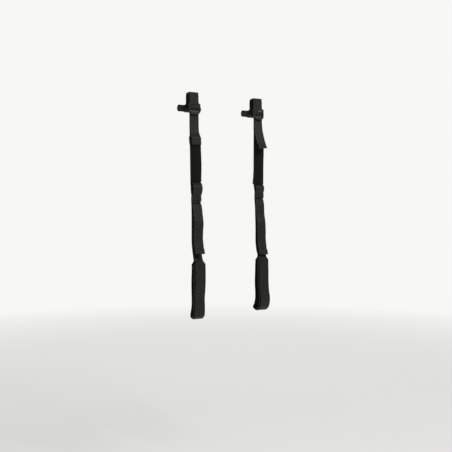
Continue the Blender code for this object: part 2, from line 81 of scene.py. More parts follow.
class Coat:
    """The node tree of one material, with short ways to add and join nodes."""

    def __init__(self, name: str, colour: Sequence[float], roughness: float) -> None:
        """Start a material with a Principled shader.

        Args:
            name: Name of the material.
            colour: Base colour, linear RGB.
            roughness: Roughness where nothing varies it.
        """
        self.material = bpy.data.materials.new(name)
        self.material.use_nodes = True
        self.tree = self.material.node_tree
        self.shader = self.tree.nodes["Principled BSDF"]
        self.set(self.shader, {"Base Color": (*colour, 1.0), "Roughness": roughness})

    @staticmethod
    def set(node: bpy.types.Node, values: dict) -> None:
        """Give sockets of a node their constant values, by socket name or number."""
        for key, value in values.items():
            node.inputs[key].default_value = value

    def add(self, kind: str, inputs: dict | None = None, **settings) -> bpy.types.Node:
        """Add a node.

        Args:
            kind: Node type after "ShaderNode".
            inputs: Constant socket values, or output sockets to link.
            settings: Properties of the node.

        Returns:
            The new node.
        """
        node = self.tree.nodes.new("ShaderNode" + kind)
        for key, value in settings.items():
            setattr(node, key, value)
        for key, value in (inputs or {}).items():
            if isinstance(value, bpy.types.NodeSocket):
                self.tree.links.new(value, node.inputs[key])
            else:
                node.inputs[key].default_value = value
        return node

    def math(self, operation: str, *values) -> bpy.types.NodeSocket:
        """A Math node's output, from numbers or sockets."""
        return self.add("Math", dict(enumerate(values)), operation=operation).outputs[0]

    def blend(self, share, low: Sequence[float], high: Sequence[float]) -> bpy.types.NodeSocket:
        """A colour between two, by a share from 0 to 1."""
        ramp = self.add("ValToRGB", {"Fac": share})
        ramp.color_ramp.elements[0].color = (*low, 1.0)
        ramp.color_ramp.elements[1].color = (*high, 1.0)
        return ramp.outputs["Color"]

    def span(self, value, low: float, high: float, start: float, stop: float) -> bpy.types.NodeSocket:
        """A value moved from one range to another and held at its ends."""
        sockets = {"Value": value, "From Min": low, "From Max": high, "To Min": start, "To Max": stop}
        return self.add("MapRange", sockets).outputs["Result"]

    def bump(self, height, distance: float, strength: float = 1.0,
             under: bpy.types.NodeSocket | None = None) -> bpy.types.NodeSocket:
        """A bump normal over another one."""
        sockets = {"Height": height, "Distance": distance, "Strength": strength}
        if under is not None:
            sockets["Normal"] = under
        return self.add("Bump", sockets).outputs["Normal"]

    def join(self, output: bpy.types.NodeSocket, socket: str) -> None:
        """Link an output to a socket of the shader."""
        self.tree.links.new(output, self.shader.inputs[socket])


@dataclass(frozen=True)
class Webbing:
    """Dyed polyester webbing: staggered warp floats, weft ribs, a smooth selvedge and a satin sheen."""

    name: str
    colour: tuple[float, float, float]
    worn: tuple[float, float, float]
    float_length: float = 0.0032
    float_width: float = 0.0013
    rib: float = 0.0016
    sheen: float = 0.07

    def make(self) -> bpy.types.Material:
        """Build the material on the piece's own UV map, which is in metres."""
        coat = Coat(self.name, self.colour, 0.55)
        place = coat.add("UVMap", uv_map="strap").outputs["UV"]
        parts = coat.add("SeparateXYZ", {"Vector": place})
        across, along = parts.outputs["X"], parts.outputs["Y"]
        turned = coat.add("CombineXYZ", {"X": along, "Y": across}).outputs["Vector"]
        weave = coat.add("TexBrick", {"Vector": turned, "Scale": 1.0, "Mortar Size": 0.00032,
                                      "Mortar Smooth": 1.0, "Brick Width": self.float_length,
                                      "Row Height": self.float_width, "Bias": 0.0,
                                      "Color1": (1, 1, 1, 1), "Color2": (0.45, 0.45, 0.45, 1),
                                      "Mortar": (0, 0, 0, 1)})
        weave.offset = 0.5
        threads = weave.outputs["Color"]
        ribs = coat.math("SINE", coat.math("MULTIPLY", along, 2 * math.pi / self.rib))
        cloud = coat.add("TexNoise", {"Vector": place, "Scale": 55.0, "Detail": 3.0}).outputs["Fac"]
        fibre = coat.add("TexNoise", {"Vector": place, "Scale": 2600.0, "Detail": 2.0}).outputs["Fac"]
        selvedge = coat.span(coat.math("ABSOLUTE", across), 0.0228, 0.0246, 0.0, 0.45)
        share = coat.math("ADD", coat.span(cloud, 0.35, 0.7, 0.0, 0.45),
                          coat.math("MULTIPLY", threads, 0.30))
        colour = coat.blend(coat.math("ADD", share, selvedge), self.colour, self.worn)
        coat.join(colour, "Base Color")
        coat.join(coat.span(cloud, 0.3, 0.75, 0.46, 0.62), "Roughness")
        height = coat.math("ADD", threads, coat.math("MULTIPLY", ribs, 0.18))
        height = coat.math("ADD", height, coat.math("MULTIPLY", fibre, 0.35))
        coat.join(coat.bump(height, 0.00030, 0.75), "Normal")
        coat.set(coat.shader, {"Sheen Weight": self.sheen, "Sheen Roughness": 0.35,
                               "Sheen Tint": (0.9, 0.82, 0.75, 1.0), "Specular IOR Level": 0.28})
        return coat.material


@dataclass(frozen=True)
class PadCloth:
    """Close knitted cloth over foam: small cells, a soft pile and faint wear."""

    name: str
    colour: tuple[float, float, float]
    worn: tuple[float, float, float]
    cell: float = 0.0019
    pile: float = 0.05

    def make(self) -> bpy.types.Material:
        """Build the material on the piece's own UV map, which is in metres."""
        coat = Coat(self.name, self.colour, 0.88)
        place = coat.add("UVMap", uv_map="strap").outputs["UV"]
        knit = coat.add("TexVoronoi", {"Vector": place, "Scale": 1.0 / self.cell, "Randomness": 0.35})
        cells = coat.span(knit.outputs["Distance"], 0.0, 0.65, 1.0, 0.0)
        cloud = coat.add("TexNoise", {"Vector": place, "Scale": 38.0, "Detail": 4.0}).outputs["Fac"]
        lint = coat.add("TexNoise", {"Vector": place, "Scale": 1900.0, "Detail": 3.0}).outputs["Fac"]
        share = coat.math("ADD", coat.span(cloud, 0.42, 0.72, 0.0, 0.6),
                          coat.math("MULTIPLY", cells, 0.25))
        coat.join(coat.blend(share, self.colour, self.worn), "Base Color")
        soft = coat.bump(cloud, 0.0012, 0.35)
        height = coat.math("ADD", cells, coat.math("MULTIPLY", lint, 0.5))
        coat.join(coat.bump(height, 0.00028, 0.7, soft), "Normal")
        coat.set(coat.shader, {"Sheen Weight": self.pile, "Sheen Roughness": 0.5,
                               "Specular IOR Level": 0.15})
        return coat.material


@dataclass(frozen=True)
class Foam:
    """Closed-cell foam: open pores and a dusty, dull skin."""

    name: str
    colour: tuple[float, float, float]
    pore: float = 0.0011

    def make(self) -> bpy.types.Material:
        """Build the material on object coordinates."""
        coat = Coat(self.name, self.colour, 0.92)
        place = coat.add("TexCoord").outputs["Object"]
        pores = coat.add("TexVoronoi", {"Vector": place, "Scale": 1.0 / self.pore}).outputs["Distance"]
        dust = coat.add("TexNoise", {"Vector": place, "Scale": 90.0, "Detail": 5.0}).outputs["Fac"]
        lighter = [channel * 1.9 for channel in self.colour]
        coat.join(coat.blend(coat.span(dust, 0.4, 0.7, 0.0, 1.0), self.colour, lighter), "Base Color")
        coat.join(coat.bump(pores, 0.0004, 0.6), "Normal")
        coat.set(coat.shader, {"Specular IOR Level": 0.25})
        return coat.material


@dataclass(frozen=True)
class Moulding:
    """Moulded plastic: a fine spark-eroded grain, uneven gloss and edges rubbed smooth."""

    name: str
    colour: tuple[float, float, float]
    roughness: float = 0.40
    grain: float = 0.0005

    def make(self) -> bpy.types.Material:
        """Build the material on object coordinates."""
        coat = Coat(self.name, self.colour, self.roughness)
        place = coat.add("TexCoord").outputs["Object"]
        grain = coat.add("TexNoise", {"Vector": place, "Scale": 1.0 / self.grain, "Detail": 2.0})
        cloud = coat.add("TexNoise", {"Vector": place, "Scale": 120.0, "Detail": 4.0}).outputs["Fac"]
        edge = coat.span(coat.add("NewGeometry").outputs["Pointiness"], 0.53, 0.62, 0.0, 1.0)
        rubbed = [0.02 + channel * 1.7 for channel in self.colour]
        share = coat.math("MULTIPLY", edge, coat.span(cloud, 0.35, 0.65, 0.2, 1.0))
        coat.join(coat.blend(share, self.colour, rubbed), "Base Color")
        coat.join(coat.span(cloud, 0.3, 0.7, self.roughness - 0.07, self.roughness + 0.10), "Roughness")
        coat.join(coat.bump(grain.outputs["Fac"], 0.00006, 0.5), "Normal")
        return coat.material


@dataclass(frozen=True)
class Thread:
    """Bonded sewing thread: fine twisted plies with a light gloss."""

    name: str
    colour: tuple[float, float, float]

    def make(self) -> bpy.types.Material:
        """Build the material on object coordinates."""
        coat = Coat(self.name, self.colour, 0.42)
        place = coat.add("TexCoord").outputs["Object"]
        twist = coat.add("TexWave", {"Vector": place, "Scale": 900.0, "Distortion": 2.0},
                         bands_direction="DIAGONAL").outputs["Fac"]
        lighter = [channel * 1.8 for channel in self.colour]
        coat.join(coat.blend(twist, self.colour, lighter), "Base Color")
        coat.join(coat.bump(twist, 0.00008, 0.6), "Normal")
        return coat.material


@dataclass(frozen=True)
class StudioPaint:
    """Plain matt paint of the floor."""

    name: str
    colour: tuple[float, float, float]
    glow: tuple[float, float, float] = (0.36, 0.36, 0.355)
    fade: tuple[float, float] = (1.2, 6.5)

    def make(self) -> bpy.types.Material:
        """Build the material, which fades to the sky's tone away from the middle of the floor."""
        coat = Coat(self.name, self.colour, 0.85)
        place = coat.add("TexCoord").outputs["Object"]
        reach = coat.add("VectorMath", {0: place}, operation="LENGTH").outputs["Value"]
        far = coat.span(reach, *self.fade, 0.0, 1.0)
        coat.join(coat.blend(far, self.colour, (0.0, 0.0, 0.0)), "Base Color")
        coat.join(coat.blend(far, self.glow, SKY), "Emission Color")
        coat.set(coat.shader, {"Emission Strength": 1.0, "Specular IOR Level": 0.0})
        return coat.material


class Finish(Enum):
    """The finishes of the straps, each made once."""

    WEBBING = Webbing("black_webbing", (0.0105, 0.0088, 0.0075), (0.031, 0.0262, 0.0225))
    BINDING = Webbing("binding_tape", (0.0080, 0.0072, 0.0066), (0.018, 0.0165, 0.0150),
                      float_length=0.0018, float_width=0.0009, sheen=0.08)
    HAND_CLOTH = PadCloth("knitted_hand_cloth", (0.0062, 0.0058, 0.0053), (0.0120, 0.0113, 0.0104))
    FOOT_CLOTH = PadCloth("knitted_foot_cloth", (0.0068, 0.0061, 0.0055), (0.0130, 0.0118, 0.0106),
                          cell=0.0023)
    SLEEVE_FOAM = Foam("sleeve_foam_skin", (0.016, 0.016, 0.016))
    CORE_FOAM = Foam("core_foam_skin", (0.020, 0.020, 0.020))
    BLACK_PLASTIC = Moulding("moulded_black", (0.0120, 0.0120, 0.0120))
    TUBE_PLASTIC = Moulding("extruded_tube", (0.60, 0.60, 0.58), 0.45, 0.0008)
    THREAD = Thread("black_thread", (0.020, 0.019, 0.018))
    FLOOR = StudioPaint("studio_floor", (0.80, 0.80, 0.79))

    def material(self) -> bpy.types.Material:
        """The finish's material."""
        return bpy.data.materials.get(self.value.name) or self.value.make()


# ---------------------------------------------------------------- lines in the YZ plane

def smooth(points: Sequence[Point], steps: int = 10) -> np.ndarray:
    """A Catmull-Rom curve through points.

    Args:
        points: Points to pass through.
        steps: Straight runs between two points.

    Returns:
        (n, 2) points of the curve.
    """
    given = np.array(points, float)
    ends = np.vstack([2 * given[0] - given[1], given, 2 * given[-1] - given[-2]])
    curve = []
    for before, start, stop, after in zip(ends, ends[1:], ends[2:], ends[3:]):
        for t in np.arange(steps) / steps:
            bend = 2 * before - 5 * start + 4 * stop - after
            turn = 3 * start - before - 3 * stop + after
            curve.append(start + 0.5 * t * ((stop - before) + t * (bend + t * turn)))
    return np.array([*curve, given[-1]])


def lengths(line: np.ndarray) -> np.ndarray:
    """Distance along a line of each of its points."""
    return np.concatenate([[0.0], np.cumsum(np.linalg.norm(np.diff(line, axis=0), axis=1))])


def even(line: np.ndarray, spacing: float) -> np.ndarray:
    """The line with its points evenly spaced."""
    along = lengths(line)
    wanted = np.linspace(0.0, along[-1], max(2, round(along[-1] / spacing) + 1))
    return np.stack([np.interp(wanted, along, line[:, k]) for k in range(line.shape[1])], axis=1)


def normals(line: np.ndarray) -> np.ndarray:
    """Unit normals to the left of the line's direction, in its plane."""
    along = np.gradient(line, axis=0)
    left = np.stack([-along[:, 1], along[:, 0]], axis=1)
    return left / np.linalg.norm(left, axis=1)[:, None]


def side_step(line: np.ndarray, distance: float) -> np.ndarray:
    """The line moved to the left of its direction."""
    return line + normals(line) * distance


def on_door(line: np.ndarray) -> np.ndarray:
    """A line of (off the door, below its top) in millimetres as (y, z) in metres."""
    return -np.asarray(line, float) * MM


def hemmed(tail: Sequence[Point], hem: Sequence[Point]) -> np.ndarray:
    """A tail's line with its end folded forwards and laid back on itself.

    Args:
        tail: Route of the free webbing.
        hem: Middle route of the doubled end.

    Returns:
        (n, 2) line in millimetres.
    """
    half = WEB_THICKNESS / MM / 2 + 0.06
    middle = smooth(hem, 6)
    left = normals(middle)
    under, over = middle + left * half, middle - left * half
    end, ahead = middle[-1], (middle[-1] - middle[-2]) / np.linalg.norm(middle[-1] - middle[-2])
    fold = [end + half * (math.cos(a) * left[-1] + math.sin(a) * ahead)
            for a in np.linspace(0.25, math.pi - 0.25, 6)]
    lead = [tuple(p) for p in tail[:-1]]
    points = [*lead, *map(tuple, under[2:]), *map(tuple, fold), *map(tuple, over[::-1][:-1])]
    return smooth(points, 6)


# ---------------------------------------------------------------- swept pieces

Section = Callable[[float], np.ndarray]


def webbing_section(width: float, thickness: float, cup: float = 0.0) -> Section:
    """The cross-section of webbing, with rounded selvedges.

    Args:
        width: Across the strap.
        thickness: Through the strap.
        cup: How far the middle stands proud of the edges.

    Returns:
        A function from the share along the strap to (n, 2) points (across, out).
    """
    half, rim = width / 2, thickness / 2
    flat = np.linspace(half - rim, -half + rim, 9)
    turn = np.linspace(90, 270, 6)[1:-1]
    top = [(a, rim) for a in flat]
    left = [(-half + rim + rim * math.cos(math.radians(t)), rim * math.sin(math.radians(t))) for t in turn]
    bottom = [(a, -rim) for a in flat[::-1]]
    right = [(-a, -o) for a, o in left]
    outline = np.array([*top, *left, *bottom, *right])
    outline[:, 1] += cup * (1 - (outline[:, 0] / half) ** 2)
    return lambda _share: outline


@dataclass(frozen=True)
class PadShape:
    """A padded band's cross-section: a crowned middle between two flat bound edges."""

    width: float
    thickness: float
    edge: float = 0.0036          # width of the flat, sewn edge
    edge_thickness: float = 0.0026
    pull: float = 0.035           # how far the sides draw in between the corners
    end_share: float = 0.05       # share of the length over which an end thins to its seam
    ear: float = 0.0              # how far each side of the first end stands out
    flare: float = 0.0            # how far one side of the last end stands out
    points: int = 46

    def fullness(self, share: float) -> float:
        """How much of the full crown stands at a share of the length."""
        reach = min(share, 1 - share) / self.end_share
        return 0.30 + 0.70 * math.sin(min(1.0, reach) * math.pi / 2)

    def half_width(self, share: float) -> float:
        """Half the width at a share of the length, drawn in between the ends."""
        drawn = self.width / 2 * (1 - self.pull * (4 * share * (1 - share)) ** 0.35)
        ear = self.ear * float(np.clip((0.19 - share) / 0.04, 0.0, 1.0))
        return drawn + ear + self.lean(share)

    def lean(self, share: float) -> float:
        """How far the middle of the section moves to one side near the last end."""
        return self.flare / 2 * float(np.clip((share - 0.62) / 0.34, 0.0, 1.0))

    def height(self, across: float, share: float) -> float:
        """Half the thickness at a distance across."""
        crown = self.half_width(share) - self.edge
        rim = self.edge_thickness / 2
        if abs(across) >= crown:
            beyond = min(1.0, (abs(across) - crown) / self.edge)
            return rim * math.sqrt(max(0.0, 1 - beyond ** 6))
        full = (self.thickness / 2 - rim) * self.fullness(share)
        return rim + full * (1 - (abs(across) / crown) ** 3.2) ** 0.62

    def section(self, share: float) -> np.ndarray:
        """The outline at a share of the length, as (across, out) points."""
        half = self.half_width(share)
        angle = np.linspace(0, 2 * math.pi, self.points, endpoint=False)
        across = half * np.sign(np.cos(angle)) * np.abs(np.cos(angle)) ** 0.72
        side = np.where(np.sin(angle) >= 0, 1.0, -1.0)
        out = np.array([self.height(a, share) for a in across]) * side
        across = across - self.lean(share)
        return np.stack([across, out], axis=1)


@dataclass
class Band:
    """A piece swept along a line in the YZ plane, flat across X."""

    name: str
    x: float
    line: np.ndarray                                 # (n, 2) metres, evenly spaced
    section: Section
    finish: Finish
    twist: float = 0.0                               # radians gained by the far end
    sway: float = 0.0                                # metres moved along X by the far end
    ripple: float = 0.0                              # metres of slow unevenness
    pucker: float = 0.0                              # metres of short waves along the edges
    edge_finish: Finish | None = None                  # finish of the outer edge strips
    edge_from: float = 1.0                           # metres across where those strips start
    along: np.ndarray = field(init=False)
    left: np.ndarray = field(init=False)

    def __post_init__(self) -> None:
        """Work out the line's lengths and normals."""
        self.along = lengths(self.line)
        self.left = normals(self.line)

    def _late(self, share: float) -> float:
        """Share of the twist and sway reached, which begin part of the way along."""
        reach = min(1.0, max(0.0, (share - TURN_START) / (1 - TURN_START)))
        return reach * reach

    def place(self, index: int, across: float, out: float) -> Vector:
        """A point of the piece at one of the line's points."""
        share = self.along[index] / self.along[-1]
        roll, sway = self.twist * self._late(share), self.sway * self._late(share)
        reach = self.along[index]
        out += self.ripple * noise.noise(Vector((self.x * 9, reach * RIPPLE_ALONG, across * RIPPLE_ACROSS)))
        edge = (abs(across) / PUCKER_REACH) ** 4
        wave = reach * 2 * math.pi / PUCKER_PITCH + across * PUCKER_SLANT
        out += self.pucker * edge * math.sin(wave)
        side = across * math.cos(roll) - out * math.sin(roll)
        off = across * math.sin(roll) + out * math.cos(roll)
        point = self.line[index] + self.left[index] * off
        return Vector((self.x + sway + side, point[0], point[1]))

    def seam(self, across: float, out: float, start: float = 0.0, stop: float | None = None) -> Seam:
        """Points of a seam that runs along the piece.

        Args:
            across: Distance across, from the middle of the piece.
            out: Distance off the line; a sign picks the face.
            start: Where it starts, along the line.
            stop: Where it stops, or the end where it is None.

        Returns:
            (n, 3) points.
        """
        return self.slant(across, across, out, start, self.along[-1] if stop is None else stop)

    def slant(self, first: float, last: float, out: float, start: float, stop: float) -> Seam:
        """Points of a straight seam between two places on the piece's face."""
        if stop < 0:
            stop = self.along[-1] + stop
        if start < 0:
            start = self.along[-1] + start
        count = max(2, round((abs(stop - start) + abs(last - first)) / 0.0025))
        points = []
        for t in np.linspace(0, 1, count):
            reach = start + (stop - start) * t
            index = int(np.clip(np.searchsorted(self.along, reach), 0, len(self.line) - 1))
            points.append(self.place(index, first + (last - first) * t, out))
        return np.array(points)

    def box_stitch(self, start: float, stop: float, out: float, margin: float = 0.004) -> list[Seam]:
        """A sewn box with a cross in it."""
        side = WEB_WIDTH / 2 - margin
        return [self.slant(-side, -side, out, start, stop), self.slant(side, side, out, start, stop),
                self.slant(-side, side, out, start, start), self.slant(-side, side, out, stop, stop),
                self.slant(-side, side, out, start, stop), self.slant(side, -side, out, start, stop)]

    def make(self) -> bpy.types.Object:
        """Build the closed mesh with its UV map in metres.

        Returns:
            The new object, at the origin.
        """
        rings, rows = [], []
        for i, reach in enumerate(self.along):
            outline = self.section(reach / self.along[-1])
            rings.append([self.place(i, across, out) for across, out in outline])
            rows.append(outline)
        count = len(rings[0])
        vertices = [point for ring in rings for point in ring]
        faces = [(i * count + k, i * count + (k + 1) % count, (i + 1) * count + (k + 1) % count,
                  (i + 1) * count + k) for i in range(len(rings) - 1) for k in range(count)]
        caps = [tuple(range(count)), tuple((len(rings) - 1) * count + k for k in range(count))]
        mesh = bpy.data.meshes.new(self.name)
        mesh.from_pydata(vertices, [], [*faces, *caps])
        mesh.materials.append(self.finish.material())
        across = np.array([row[:, 0] for row in rows]).ravel()
        if self.edge_finish is not None:
            mesh.materials.append(self.edge_finish.material())
            for face in mesh.polygons:
                if min(abs(across[v]) for v in face.vertices) > self.edge_from:
                    face.material_index = 1
        places = np.stack([across, np.repeat(self.along, count)], axis=1)
        layer = mesh.uv_layers.new(name="strap")
        corners = np.empty(len(mesh.loops), np.int32)
        mesh.loops.foreach_get("vertex_index", corners)
        layer.data.foreach_set("uv", places[corners].ravel())
        mesh.polygons.foreach_set("use_smooth", [True] * len(mesh.polygons))
        shape = bmesh.new()
        shape.from_mesh(mesh)
        bmesh.ops.recalc_face_normals(shape, faces=shape.faces)
        shape.to_mesh(mesh)
        shape.free()
        return add_object(self.name, mesh)


def add_object(name: str, mesh: bpy.types.Mesh) -> bpy.types.Object:
    """An object of the scene at the origin."""
    piece = bpy.data.objects.new(name, mesh)
    bpy.context.scene.collection.objects.link(piece)
    return piece


def finished(piece: bpy.types.Object) -> bpy.types.Object:
    """The piece with its modifiers turned into plain mesh."""
    graph = bpy.context.evaluated_depsgraph_get()
    mesh = bpy.data.meshes.new_from_object(piece.evaluated_get(graph))
    mesh.transform(piece.matrix_world)
    name = piece.name
    bpy.data.objects.remove(piece, do_unlink=True)
    mesh.name = name
    return add_object(name, mesh)


def joined(name: str, pieces: Sequence[bpy.types.Object]) -> bpy.types.Object:
    """Several plain pieces as one mesh."""
    shape = bmesh.new()
    for piece in pieces:
        shape.from_mesh(piece.data)
        bpy.data.objects.remove(piece, do_unlink=True)
    mesh = bpy.data.meshes.new(name)
    shape.to_mesh(mesh)
    shape.free()
    return add_object(name, mesh)


# ---------------------------------------------------------------- repeats made by Geometry Nodes

class Repeats:
    """Geometry Nodes trees that repeat a small shape."""

    @staticmethod
    def _tree(name: str, sockets: dict[str, str]) -> bpy.types.GeometryNodeTree:
        """A new tree with named inputs and a geometry output."""
        tree = bpy.data.node_groups.new(name, "GeometryNodeTree")
        tree.interface.new_socket("Geometry", in_out="INPUT", socket_type="NodeSocketGeometry")
        for label, kind in sockets.items():
            tree.interface.new_socket(label, in_out="INPUT", socket_type=kind)
        tree.interface.new_socket("Geometry", in_out="OUTPUT", socket_type="NodeSocketGeometry")
        return tree

    @classmethod
    def stitch_tree(cls) -> bpy.types.GeometryNodeTree:
        """The tree that lays thread stitches along every edge line of a mesh."""
        made = bpy.data.node_groups.get("stitches")
        if made is not None:
            return made
        tree = cls._tree("stitches", {"Pitch": "NodeSocketFloat", "Stitch": "NodeSocketVector",
                                      "Thread": "NodeSocketMaterial"})
        nodes, link = tree.nodes, tree.links.new
        start, end = nodes.new("NodeGroupInput"), nodes.new("NodeGroupOutput")
        curve = nodes.new("GeometryNodeMeshToCurve")
        points = nodes.new("GeometryNodeCurveToPoints")
        points.mode = "LENGTH"
        ball = nodes.new("GeometryNodeMeshUVSphere")
        ball.inputs["Segments"].default_value = 6
        ball.inputs["Rings"].default_value = 4
        ball.inputs["Radius"].default_value = 1.0
        stretch = nodes.new("GeometryNodeTransform")
        place = nodes.new("GeometryNodeInstanceOnPoints")
        plain = nodes.new("GeometryNodeRealizeInstances")
        soft = nodes.new("GeometryNodeSetShadeSmooth")
        paint = nodes.new("GeometryNodeSetMaterial")
        link(start.outputs["Geometry"], curve.inputs["Mesh"])
        link(curve.outputs["Curve"], points.inputs["Curve"])
        link(start.outputs["Pitch"], points.inputs["Length"])
        link(points.outputs["Points"], place.inputs["Points"])
        link(points.outputs["Rotation"], place.inputs["Rotation"])
        link(ball.outputs["Mesh"], stretch.inputs["Geometry"])
        link(start.outputs["Stitch"], stretch.inputs["Scale"])
        link(stretch.outputs["Geometry"], place.inputs["Instance"])
        link(place.outputs["Instances"], plain.inputs["Geometry"])
        link(plain.outputs["Geometry"], soft.inputs["Geometry"])
        link(soft.outputs["Geometry"], paint.inputs["Geometry"])
        link(start.outputs["Thread"], paint.inputs["Material"])
        link(paint.outputs["Geometry"], end.inputs["Geometry"])
        return tree

    @classmethod
    def rib_tree(cls) -> bpy.types.GeometryNodeTree:
        """The tree that sets a row of round-topped ribs side by side."""
        made = bpy.data.node_groups.get("ribs")
        if made is not None:
            return made
        tree = cls._tree("ribs", {"Count": "NodeSocketInt", "First": "NodeSocketVector",
                                  "Step": "NodeSocketVector", "Rib": "NodeSocketVector",
                                  "Plastic": "NodeSocketMaterial"})
        nodes, link = tree.nodes, tree.links.new
        start, end = nodes.new("NodeGroupInput"), nodes.new("NodeGroupOutput")
        row = nodes.new("GeometryNodeMeshLine")
        rod = nodes.new("GeometryNodeMeshUVSphere")
        rod.inputs["Segments"].default_value = 10
        rod.inputs["Rings"].default_value = 8
        rod.inputs["Radius"].default_value = 1.0
        shape = nodes.new("GeometryNodeTransform")
        place = nodes.new("GeometryNodeInstanceOnPoints")
        plain = nodes.new("GeometryNodeRealizeInstances")
        paint = nodes.new("GeometryNodeSetMaterial")
        link(start.outputs["Count"], row.inputs["Count"])
        link(start.outputs["First"], row.inputs["Start Location"])
        link(start.outputs["Step"], row.inputs["Offset"])
        link(row.outputs["Mesh"], place.inputs["Points"])
        link(rod.outputs["Mesh"], shape.inputs["Geometry"])
        link(start.outputs["Rib"], shape.inputs["Scale"])
        link(shape.outputs["Geometry"], place.inputs["Instance"])
        link(place.outputs["Instances"], plain.inputs["Geometry"])
        link(plain.outputs["Geometry"], paint.inputs["Geometry"])
        link(start.outputs["Plastic"], paint.inputs["Material"])
        link(paint.outputs["Geometry"], end.inputs["Geometry"])
        return tree

    @staticmethod
    def run(piece: bpy.types.Object, tree: bpy.types.GeometryNodeTree, values: dict) -> bpy.types.Object:
        """Run a tree on a piece and keep its result as plain mesh.

        Args:
            piece: The object that the tree reads.
            tree: The tree.
            values: Value of each named input.

        Returns:
            The finished piece.
        """
        worked = piece.modifiers.new(tree.name, "NODES")
        worked.node_group = tree
        for item in tree.interface.items_tree:
            if item.in_out == "INPUT" and item.name in values:
                worked[item.identifier] = values[item.name]
        return finished(piece)


@dataclass(frozen=True)
class Stitching:
    """Lockstitching of one weight of thread."""

    pitch: float = 0.0034
    length: float = 0.0027
    radius: float = 0.00030

    def make(self, name: str, seams: Sequence[Seam]) -> bpy.types.Object:
        """Sew the seams as one mesh.

        Args:
            name: Name of the piece.
            seams: Lines on the cloth's surface.

        Returns:
            The stitches.
        """
        vertices, edges = [], []
        for seam in seams:
            first = len(vertices)
            vertices.extend(map(tuple, seam))
            edges.extend((first + i, first + i + 1) for i in range(len(seam) - 1))
        mesh = bpy.data.meshes.new(name)
        mesh.from_pydata(vertices, edges, [])
        values = {"Pitch": self.pitch, "Stitch": (self.radius, self.radius, self.length / 2),
                  "Thread": Finish.THREAD.material()}
        return Repeats.run(add_object(name, mesh), Repeats.stitch_tree(), values)


# ---------------------------------------------------------------- hard pieces

@dataclass(frozen=True)
class Turned:
    """A round piece whose axis runs along X."""

    name: str
    centre: tuple[float, float, float]
    outline: tuple[Point, ...]                       # closed, (radius, along)
    finish: Finish
    sides: int = 72

    def make(self) -> bpy.types.Object:
        """Spin the outline into a closed mesh."""
        vertices, faces = [], []
        count = len(self.outline)
        for k in range(self.sides):
            angle = 2 * math.pi * k / self.sides
            for radius, along in self.outline:
                vertices.append((self.centre[0] + along, self.centre[1] + radius * math.cos(angle),
                                 self.centre[2] + radius * math.sin(angle)))
        for k in range(self.sides):
            ahead = (k + 1) % self.sides
            for i in range(count):
                after = (i + 1) % count
                faces.append((k * count + i, k * count + after, ahead * count + after, ahead * count + i))
        mesh = bpy.data.meshes.new(self.name)
        mesh.from_pydata(vertices, [], faces)
        mesh.materials.append(self.finish.material())
        shape = bmesh.new()
        shape.from_mesh(mesh)
        bmesh.ops.remove_doubles(shape, verts=shape.verts, dist=1e-6)
        bmesh.ops.dissolve_degenerate(shape, edges=shape.edges, dist=1e-7)
        bmesh.ops.recalc_face_normals(shape, faces=shape.faces)
        for face in shape.faces:
            face.smooth = True
        shape.to_mesh(mesh)
        shape.free()
        return add_object(self.name, mesh)


def rounded_block(centre: Sequence[float], size: Sequence[float], radius: float,
                  tilt: float = 0.0) -> bpy.types.Object:
    """A block with rounded edges.

    Args:
        centre: Its middle.
        size: Its three sides.
        radius: Radius of its edges.
        tilt: Turn about X, in radians.

    Returns:
        The block as plain mesh.
    """
    shape = bmesh.new()
    bmesh.ops.create_cube(shape, size=1.0)
    bmesh.ops.scale(shape, vec=size, verts=shape.verts)
    bmesh.ops.bevel(shape, geom=shape.edges[:], offset=radius, segments=4, profile=0.5, affect="EDGES")
    turn = np.array([[1, 0, 0], [0, math.cos(tilt), -math.sin(tilt)], [0, math.sin(tilt), math.cos(tilt)]])
    for vertex in shape.verts:
        vertex.co = Vector(turn @ np.array(vertex.co)) + Vector(centre)
    mesh = bpy.data.meshes.new("block")
    shape.to_mesh(mesh)
    shape.free()
    return add_object("block", mesh)


def fused(name: str, pieces: Sequence[bpy.types.Object], voxel: float, rounds: int,
          finish: Finish) -> bpy.types.Object:
    """Overlapping solids as one moulding, with small fillets where they meet.

    Args:
        name: Name of the moulding.
        pieces: The solids.
        voxel: Grid size of the fusing.
        rounds: Smoothing rounds.
        finish: Its finish.

    Returns:
        The moulding.
    """
    piece = joined(name, pieces)
    grid = piece.modifiers.new("fuse", "REMESH")
    grid.mode = "VOXEL"
    grid.voxel_size = voxel
    grid.use_smooth_shade = True
    even_out = piece.modifiers.new("fillet", "SMOOTH")
    even_out.factor = 0.5
    even_out.iterations = rounds
    piece = finished(piece)
    piece.data.materials.clear()
    piece.data.materials.append(finish.material())
    return piece


